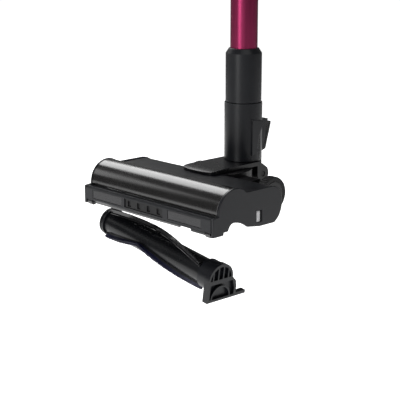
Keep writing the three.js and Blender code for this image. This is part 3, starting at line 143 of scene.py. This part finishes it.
def noise(nodes, links, place, scale, detail=3.0, stretch=None):
    made = nodes.new("ShaderNodeTexNoise")
    made.inputs["Scale"].default_value = scale
    made.inputs["Detail"].default_value = detail
    source = place.outputs["Object"]
    if stretch:
        mapping = nodes.new("ShaderNodeMapping")
        mapping.inputs["Scale"].default_value = stretch
        links.new(source, mapping.inputs["Vector"])
        source = mapping.outputs["Vector"]
    links.new(source, made.inputs["Vector"])
    return made


def spread(nodes, links, source, low, high, start=0.3, end=0.7):
    made = nodes.new("ShaderNodeMapRange")
    made.inputs["From Min"].default_value = start
    made.inputs["From Max"].default_value = end
    made.inputs["To Min"].default_value = low
    made.inputs["To Max"].default_value = high
    links.new(source, made.inputs["Value"])
    return made.outputs["Result"]


def tint(nodes, links, source, first, second, start=0.3, end=0.7):
    ramp = nodes.new("ShaderNodeValToRGB")
    ramp.color_ramp.elements[0].position = start
    ramp.color_ramp.elements[1].position = end
    ramp.color_ramp.elements[0].color = (*first, 1)
    ramp.color_ramp.elements[1].color = (*second, 1)
    links.new(source, ramp.inputs["Fac"])
    return ramp.outputs["Color"]


def relief(nodes, links, source, shader, strength, depth):
    made = nodes.new("ShaderNodeBump")
    made.inputs["Strength"].default_value = strength
    made.inputs["Distance"].default_value = depth
    links.new(source, made.inputs["Height"])
    links.new(made.outputs["Normal"], shader.inputs["Normal"])


def shades(color, vary):
    return [max(c * (1 - vary), 0) for c in color], [min(c * (1 + vary), 1) for c in color]


def plastic(name, color, rough, grain=2600, bump=0.12, vary=0.12, specular=0.5):
    """Moulded plastic: slightly uneven colour and gloss, with a fine spark-eroded grain."""
    material, nodes, links, shader, place = tree(name)
    broad = noise(nodes, links, place, 22)
    fine = noise(nodes, links, place, grain, 2)
    links.new(tint(nodes, links, broad.outputs["Fac"], *shades(color, vary)), shader.inputs["Base Color"])
    links.new(spread(nodes, links, broad.outputs["Fac"], rough * 0.88, min(rough * 1.12, 1)),
              shader.inputs["Roughness"])
    relief(nodes, links, fine.outputs["Fac"], shader, bump, 0.0002)
    shader.inputs["Specular IOR Level"].default_value = specular
    return material


def metal(name, color, rough, stretch):
    """Drawn or anodised metal, its fine lines running along one axis."""
    material, nodes, links, shader, place = tree(name)
    drawn = noise(nodes, links, place, 260, 4, stretch)
    broad = noise(nodes, links, place, 9)
    links.new(tint(nodes, links, broad.outputs["Fac"], *shades(color, 0.1)), shader.inputs["Base Color"])
    gloss = spread(nodes, links, drawn.outputs["Fac"], rough * 0.8, rough * 1.25)
    links.new(gloss, shader.inputs["Roughness"])
    relief(nodes, links, drawn.outputs["Fac"], shader, 0.02, 0.00005)
    shader.inputs["Metallic"].default_value = 1.0
    return material


def window(name, color):
    """A frosted window with a small prism pattern pressed into its back."""
    material, nodes, links, shader, place = tree(name)
    cells = nodes.new("ShaderNodeTexVoronoi")
    cells.inputs["Scale"].default_value = 420
    cells.inputs["Randomness"].default_value = 0.25
    links.new(place.outputs["Object"], cells.inputs["Vector"])
    low, high = shades(color, 0.4)
    pattern = cells.outputs["Distance"]
    links.new(tint(nodes, links, pattern, high, low, 0.1, 0.65), shader.inputs["Base Color"])
    links.new(spread(nodes, links, pattern, 0.22, 0.42, 0.1, 0.7), shader.inputs["Roughness"])
    relief(nodes, links, pattern, shader, 0.35, 0.0004)
    shader.inputs["Specular IOR Level"].default_value = 0.4
    return material


def clear(name, color):
    """Clear tinted polycarbonate with faint rub marks."""
    material, nodes, links, shader, place = tree(name)
    rubs = noise(nodes, links, place, 90, 4, (1, 1, 0.15))
    links.new(tint(nodes, links, rubs.outputs["Fac"], *shades(color, 0.08)), shader.inputs["Base Color"])
    links.new(spread(nodes, links, rubs.outputs["Fac"], 0.03, 0.09), shader.inputs["Roughness"])
    shader.inputs["Transmission Weight"].default_value = 0.92
    shader.inputs["IOR"].default_value = 1.3
    return material


def pleats(name, color):
    """Pleated filter cloth."""
    material, nodes, links, shader, place = tree(name)
    folds = nodes.new("ShaderNodeTexWave")
    folds.inputs["Scale"].default_value = 90
    folds.inputs["Distortion"].default_value = 0.4
    links.new(place.outputs["Object"], folds.inputs["Vector"])
    links.new(tint(nodes, links, folds.outputs["Fac"], *shades(color, 0.2)), shader.inputs["Base Color"])
    relief(nodes, links, folds.outputs["Fac"], shader, 0.6, 0.001)
    shader.inputs["Roughness"].default_value = 0.9
    return material


def make_materials():
    return {
        "charcoal": plastic("charcoal_plastic", (0.0052, 0.0058, 0.0078), 0.34, bump=0.06, specular=0.28),
        "black": plastic("black_plastic", (0.0035, 0.0036, 0.0042), 0.42, specular=0.25),
        "smoked": plastic("smoked_gloss", (0.006, 0.0056, 0.0054), 0.2, bump=0.0, vary=0.05, specular=0.8),
        "lens": window("headlamp_window", (0.02, 0.02, 0.022)),
        "rubber": plastic("soft_rubber", (0.005, 0.005, 0.006), 0.2, grain=1500, bump=0.03, specular=0.85),
        "tyre": plastic("tyre_rubber", (0.012, 0.012, 0.013), 0.7, grain=1300, bump=0.35, specular=0.3),
        "grey": plastic("dark_grey_plastic", (0.0045, 0.0048, 0.0058), 0.28, bump=0.03, specular=0.3),
        "mark": plastic("light_grey_plastic", (0.42, 0.42, 0.43), 0.4),
        "bristle": plastic("navy_nylon", (0.006, 0.007, 0.03), 0.45, grain=900, vary=0.35),
        "magenta": metal("magenta_anodised", (0.26, 0.028, 0.085), 0.36, (1, 1, 0.02)),
        "steel": metal("ground_steel", (0.5, 0.5, 0.52), 0.3, (0.05, 1, 1)),
        "can": metal("drawn_can", (0.5, 0.5, 0.52), 0.35, (0.1, 1, 1)),
        "board": plastic("solder_mask", (0.02, 0.08, 0.03), 0.35),
        "clear": clear("smoke_clear", (0.75, 0.7, 0.74)),
        "filter": pleats("filter_cloth", (0.7, 0.7, 0.67)),
        "accent": plastic("magenta_plastic", (0.25, 0.025, 0.09), 0.35),
    }


# ---------------------------------------------------------------- pieces

BEVEL_SEGMENTS = 2
SHARP_ANGLE = math.radians(34)  # edges turning more than this are rounded, and stay sharp in the shading
FLAT_ANGLE = math.radians(0.6)
WELD_DISTANCE = 2e-6
# the corners of a box run over x, then y, then z, low before high
BOX_FACES = [(0, 1, 3, 2), (4, 6, 7, 5), (0, 4, 5, 1), (2, 3, 7, 6), (0, 2, 6, 4), (1, 5, 7, 3)]
MIRRORED_BOX_FACES = [(a, d, c, b) for a, b, c, d in BOX_FACES]
# two rings of four corners, the outer ring first
PLATE_FACES = [(0, 1, 2, 3), (7, 6, 5, 4), (0, 4, 5, 1), (1, 5, 6, 2), (2, 6, 7, 3), (3, 7, 4, 0)]


def baked(piece):
    """Turns the piece's modifiers into plain mesh."""
    graph = bpy.context.evaluated_depsgraph_get()
    mesh = bpy.data.meshes.new_from_object(piece.evaluated_get(graph))
    piece.modifiers.clear()
    piece.data = mesh
    return piece


def place_piece(name, mesh, slot, body):
    piece = bpy.data.objects.new(name, mesh)
    bpy.context.scene.collection.objects.link(piece)
    mesh.materials.clear()
    mesh.materials.append(MATERIALS[slot])
    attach(piece, body)
    return piece


def soften(piece, width):
    """Rounds the piece's edges and shades its curved faces smooth."""
    if width:
        bevel = piece.modifiers.new("edges", "BEVEL")
        bevel.width = width
        bevel.segments = BEVEL_SEGMENTS
        bevel.limit_method = "ANGLE"
        bevel.angle_limit = SHARP_ANGLE
        bevel.use_clamp_overlap = True
    piece.data.shade_smooth()
    piece.data.set_sharp_from_angle(angle=SHARP_ANGLE)
    normals = piece.modifiers.new("normals", "WEIGHTED_NORMAL")
    normals.keep_sharp = True
    return baked(piece)


def joined_faces(mesh):
    """Merges split corners and flat neighbouring triangles, as a CAD face has them."""
    work = bmesh.new()
    work.from_mesh(mesh)
    bmesh.ops.remove_doubles(work, verts=work.verts, dist=WELD_DISTANCE)
    bmesh.ops.dissolve_limit(work, angle_limit=FLAT_ANGLE, verts=work.verts, edges=work.edges)
    bmesh.ops.recalc_face_normals(work, faces=work.faces)
    work.to_mesh(mesh)
    work.free()
    return mesh


def refine(node, width):
    """A copy of the CAD node with rounded edges, shown in its place."""
    mesh = joined_faces(NODES[node].data.copy())
    mesh.name = node + "_detail"
    piece = place_piece(node + "_detail", mesh, SLOT_OF[node], BODY_OF[node])
    soften(piece, width)
    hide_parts(node)


def basis(axis):
    axis = Vector(axis).normalized()
    side = axis.orthogonal().normalized()
    return axis, side, axis.cross(side)


def lathe(points, place, axis, count=32):
    """Verts and faces of a closed turned shape; points are (radius, height) from bottom to top."""
    axis, side, other = basis(axis)
    verts, faces = [], []
    for radius, height in points:
        for i in range(count):
            turn = 2 * math.pi * i / count
            out = side * math.cos(turn) + other * math.sin(turn)
            verts.append(Vector(place) + axis * height + out * radius)
    for ring in range(len(points) - 1):
        for i in range(count):
            a, b = ring * count + i, ring * count + (i + 1) % count
            faces.append((a, b, b + count, a + count))
    faces.append(tuple(reversed(range(count))))
    faces.append(tuple(range((len(points) - 1) * count, len(points) * count)))
    return verts, faces


def block(low, high):
    (x0, y0, z0), (x1, y1, z1) = low, high
    verts = [(x, y, z) for x in (x0, x1) for y in (y0, y1) for z in (z0, z1)]
    return verts, BOX_FACES


def gather(parts):
    verts, faces = [], []
    for some, these in parts:
        faces += [tuple(i + len(verts) for i in face) for face in these]
        verts += some
    return verts, faces


def detail(name, parts, slot, body, width=0.0003):
    verts, faces = gather(parts)
    mesh = bpy.data.meshes.new(name)
    mesh.from_pydata([tuple(v) for v in verts], [], faces)
    mesh.update()
    return soften(place_piece(name, mesh, slot, body), width)


def screw(name, place, axis, body, radius=0.0026):
    """A pan-head screw. Its cross recess is not cut: it is a thin black plate of painted shade laid on the head.
    """
    axis, side, other = basis(axis)
    head = [(radius * 0.8, -0.001), (radius, 0), (radius, 0.0003),
            (radius * 0.8, 0.0007), (radius * 0.35, 0.00085)]
    detail(name, [lathe(head, place, axis, 24)], "steel", body, 0)
    # the cross is painted shade: a black plate where the recess would show shadow, not a real cut
    top = Vector(place) + axis * 0.0009
    painted_shade_arms = []
    for along, across in ((side, other), (other, side)):
        corners = [along * (radius * 0.55 * a) + across * (radius * 0.13 * b) for a, b in
                   ((-1, -1), (1, -1), (1, 1), (-1, 1))]
        verts = [top + c for c in corners] + [top + c - axis * 0.0002 for c in corners]
        painted_shade_arms.append((verts, PLATE_FACES))
    detail(name + "_cross_painted_shade", painted_shade_arms, "black", body, 0)


# ---------------------------------------------------------------- the brush bar

BRISTLE_RADIUS = 0.025
TUFT_FOOT_RADIUS = 0.0185
TUFT_STEP = 0.0013
TUFT_ROWS = (-0.0014, 0.0014)
FIBRES_PER_TUFT = 6
FIBRE_HALF_WIDTH = 0.0004
RAIL_SECTION = ((0.0178, -0.0028), (0.0178, 0.0028), (0.0197, 0.0022), (0.0197, -0.0022))  # radius, sideways
RAIL_STEPS = 40
END_MARGIN = 0.001  # from a strip's end to its first tuft
BRUSH_MIDDLE_X = -0.0021
STRIP_APEX = -0.030  # x where the two halves of a strip meet in a V
STRIP_TWIST = 600.0  # degrees per metre
STRIP_STARTS = {"bristle_strip_a": 180, "bristle_strip_b": 300}
BRISTLE_LEFT = -0.1086
BRISTLE_RIGHT = 0.090


def roller_frame():
    """The roller's middle and axis as it hangs, and the turn that brought it there from its seat."""
    spin, swing = JOINTS["brush_spin"], JOINTS["brush_swing"]
    axis = Vector(spin["axis"]).normalized()
    hinge = Vector(swing["axis"]).normalized()
    swung = math.radians(-swing["range_deg"][0])
    turns = [Matrix.Rotation(sign * swung, 3, hinge) for sign in (1, -1)]
    best = min(turns, key=lambda turn: (turn @ Vector((1, 0, 0)) - axis).length)
    return Vector(spin["pos_m"]), axis, best


def tufts(node):
    """Two staggered rows of nylon tufts standing on a low rail, in place of the plain strip."""
    random.seed(len(node) + STRIP_STARTS[node])
    middle, axis, turn = roller_frame()

    def at(x, radius, sideways):
        wound = STRIP_STARTS[node] + STRIP_TWIST * abs(x - STRIP_APEX)
        angle = math.radians(wound) + math.asin(sideways / radius)
        out = turn @ Vector((0, math.cos(angle), math.sin(angle)))
        return middle + axis * (x - BRUSH_MIDDLE_X) + out * radius

    parts = []
    x = BRISTLE_LEFT + END_MARGIN
    while x < BRISTLE_RIGHT - END_MARGIN:
        for side in TUFT_ROWS:
            for _ in range(FIBRES_PER_TUFT):
                lean = random.uniform(-0.0009, 0.0009)
                spread_x = random.uniform(-0.0010, 0.0010)
                top = BRISTLE_RADIUS - random.uniform(0.0001, 0.0007)
                foot = (x + spread_x * 0.5, side + lean * 0.4)
                parts.append(fibre(at, foot, (x + spread_x, side + lean), top))
        x += TUFT_STEP
    made = detail(node + "_tufts", parts, "bristle", BODY_OF[node], 0)
    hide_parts(node)
    rail = [[at(BRISTLE_LEFT + (BRISTLE_RIGHT - BRISTLE_LEFT) * i / RAIL_STEPS, radius, sideways)
             for radius, sideways in RAIL_SECTION]
            for i in range(RAIL_STEPS + 1)]
    detail(node + "_rail", [tube_of(rail)], "black", BODY_OF[node], 0)


def fibre(at, low, high, top):
    """One three-sided fibre; low and high are the (x, sideways) of its foot and its tip."""
    wide = FIBRE_HALF_WIDTH
    section = ((-wide, -wide), (wide, -wide), (0, wide))
    foot = [at(low[0] + dx, TUFT_FOOT_RADIUS, low[1] + ds) for dx, ds in section]
    tip = [at(high[0] + dx, top, high[1] + ds) for dx, ds in section]
    return foot + tip, [(0, 1, 4, 3), (1, 2, 5, 4), (2, 0, 3, 5), (3, 4, 5), (2, 1, 0)]


def tube_of(rings):
    """A closed solid through rings of corners."""
    count = len(rings[0])
    verts = [v for ring in rings for v in ring]
    faces = []
    for start in range(0, (len(rings) - 1) * count, count):
        for i in range(count):
            a, b = start + i, start + (i + 1) % count
            faces.append((a, b, b + count, a + count))
    faces += [tuple(reversed(range(count))), tuple(range(len(verts) - count, len(verts)))]
    return verts, faces


# ---------------------------------------------------------------- everything in its place

MATERIALS = make_materials()
FINE = {"roller_hood": 0.0006, "side_cover_right": 0.0008, "side_cover_left": 0.0008, "swivel_yoke": 0.0012,
        "neck_tube": 0.0002, "release_pedal": 0.0004, "front_bumper": 0.0008, "brush_end_block": 0.0006,
        "handle": 0.003, "battery_pack": 0.0006, "wand_lower_sleeve": 0.0006, "motor_housing": 0.0010,
        "head_chassis": 0.0003, "top_deck": 0.0006, "rear_tyre_left": 0.0008, "rear_tyre_right": 0.0008,
        "brush_tube": 0.0003, "rubber_fin": 0.0002}  # width of each node's rounded edges
PLAIN_EDGE = 0.0004
TREAD_BARS = 40
CHIPS = 6
CHIP_HEIGHTS = (0.0141, 0.0165)
SLATS = 24
HANDLE_SCREWS = ((0.085, 1.030), (0.195, 1.035), (0.196, 0.900))  # y and z
# y and z of each rib's two ends
PEDAL_RIBS = (((0.1285, 0.0715), (0.1405, 0.1050)), ((0.1335, 0.0740), (0.1345, 0.1040)))


def dress_nodes():
    for node in NODES:
        if node in STRIP_STARTS:
            tufts(node)
        else:
            refine(node, FINE.get(node, PLAIN_EDGE))


def tread(side):
    """Low bars round a rear tyre."""
    low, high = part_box("rear_tyre_" + side)
    middle = (low + high) / 2
    radius = (high.z - low.z) / 2
    bars = []
    for i in range(TREAD_BARS):
        turn = 2 * math.pi * i / TREAD_BARS
        out = Vector((0, math.cos(turn), math.sin(turn)))
        along = Vector((0, -out.z, out.y)) * 0.0009
        foot, tip = middle + out * (radius - 0.0006), middle + out * (radius + 0.0006)
        half = Vector(((high.x - low.x) / 2 - 0.002, 0, 0))
        verts = [p + s * half + t * along for p in (foot, tip) for s in (-1, 1) for t in (-1, 1)]
        bars.append((verts, MIRRORED_BOX_FACES))
    detail("tread_" + side, bars, "tyre", "wheel_" + side, 0)


def headlamps():
    """Small light chips on each board behind its window."""
    for side in ("left", "right"):
        low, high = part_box("headlamp_board_" + side)
        bottom, top = CHIP_HEIGHTS
        chips = []
        for i in range(CHIPS):
            x = low.x + (high.x - low.x) * (i + 0.5) / CHIPS
            chips.append(block((x - 0.0012, low.y - 0.0004, bottom), (x + 0.0012, low.y + 0.0003, top)))
        detail("light_chips_" + side, chips, "mark", "head", 0.0002)


def exhaust_middle():
    low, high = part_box("exhaust_cover")
    return Vector(((low.x + high.x) / 2, (low.y + high.y) / 2, high.z))


def exhaust_slats():
    """Slats round the top of the exhaust cover."""
    middle = exhaust_middle()
    slats = []
    for i in range(SLATS):
        turn = 2 * math.pi * i / SLATS
        out = Vector((math.cos(turn), math.sin(turn), 0))
        side = Vector((-out.y, out.x, 0)) * 0.0011
        a, b = middle + out * 0.018, middle + out * 0.038
        verts = [p + s * side + Vector((0, 0, z)) for p in (a, b) for s in (-1, 1) for z in (-0.0004, 0.0012)]
        slats.append((verts, BOX_FACES))
    detail("exhaust_slats", slats, "grey", "handset", 0.0003)


def housing_band():
    """A coloured band round the motor housing."""
    middle = exhaust_middle()
    ring = [(0.0515, -0.0012), (0.0526, -0.0008), (0.0526, 0.0008), (0.0515, 0.0012)]
    base = Vector((middle.x, middle.y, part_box("motor_housing")[0].z + 0.020))
    detail("housing_band", [lathe(ring, base, (0, 0, 1), 72)], "accent", "handset", 0)


def handle_screws():
    low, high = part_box("handle")
    for i, (y, z) in enumerate(HANDLE_SCREWS):
        for x, sign in ((high.x, 1), (low.x, -1)):
            screw(f"handle_screw_{i}_{'r' if sign > 0 else 'l'}", (x, y, z), (sign, 0, 0), "handset")


def hub_screws():
    for side, sign in (("left", -1), ("right", 1)):
        low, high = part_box("wheel_hub_" + side)
        face = high.x if sign > 0 else low.x
        screw("hub_screw_" + side, (face - sign * 0.0004, (low.y + high.y) / 2, (low.z + high.z) / 2),
              (sign, 0, 0), "wheel_" + side, 0.0032)


def pedal_ribs():
    """Two crossed ribs on each side of the release pedal."""
    low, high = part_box("release_pedal")
    ribs = []
    for x in (low.x - 0.0004, high.x - 0.0002):
        for (y0, z0), (y1, z1) in PEDAL_RIBS:
            along = Vector((0, y1 - y0, z1 - z0)).normalized()
            across = Vector((0, -along.z, along.y)) * 0.0006
            verts = [Vector((x + dx, y, z)) + across * s for dx in (0, 0.0006)
                     for (y, z) in ((y0, z0), (y1, z1)) for s in (-1, 1)]
            ribs.append((verts, BOX_FACES))
    detail("pedal_ribs", ribs, SLOT_OF["release_pedal"], "pedal", 0.0002)


add_camera()
add_world()
add_floor()
softbox("key_front", (0.3, -2.3, 0.8), 0.8, 1.9, 30, (0, 0, 0.1))
softbox("high_left", (-1.9, 0.65, 1.75), 1.5, 1.2, 26, (0, 0, 0.05))
softbox("side_left", (-2.2, -0.9, 1.1), 1.4, 0.7, 5, (0, 0, 0.05))
softbox("floor_wash_left", (-1.2, 0.8, 3.0), 2.5, 2.5, 24, (-0.6, 0.8, -0.3))
softbox("floor_wash_right", (1.6, -0.6, 3.0), 2.5, 2.5, 24, (0.8, -0.6, -0.3))
dress_nodes()
tread("left")
tread("right")
headlamps()
exhaust_slats()
housing_band()
handle_screws()
hub_screws()
pedal_ribs()
bpy.context.scene.view_settings.view_transform = "Standard"
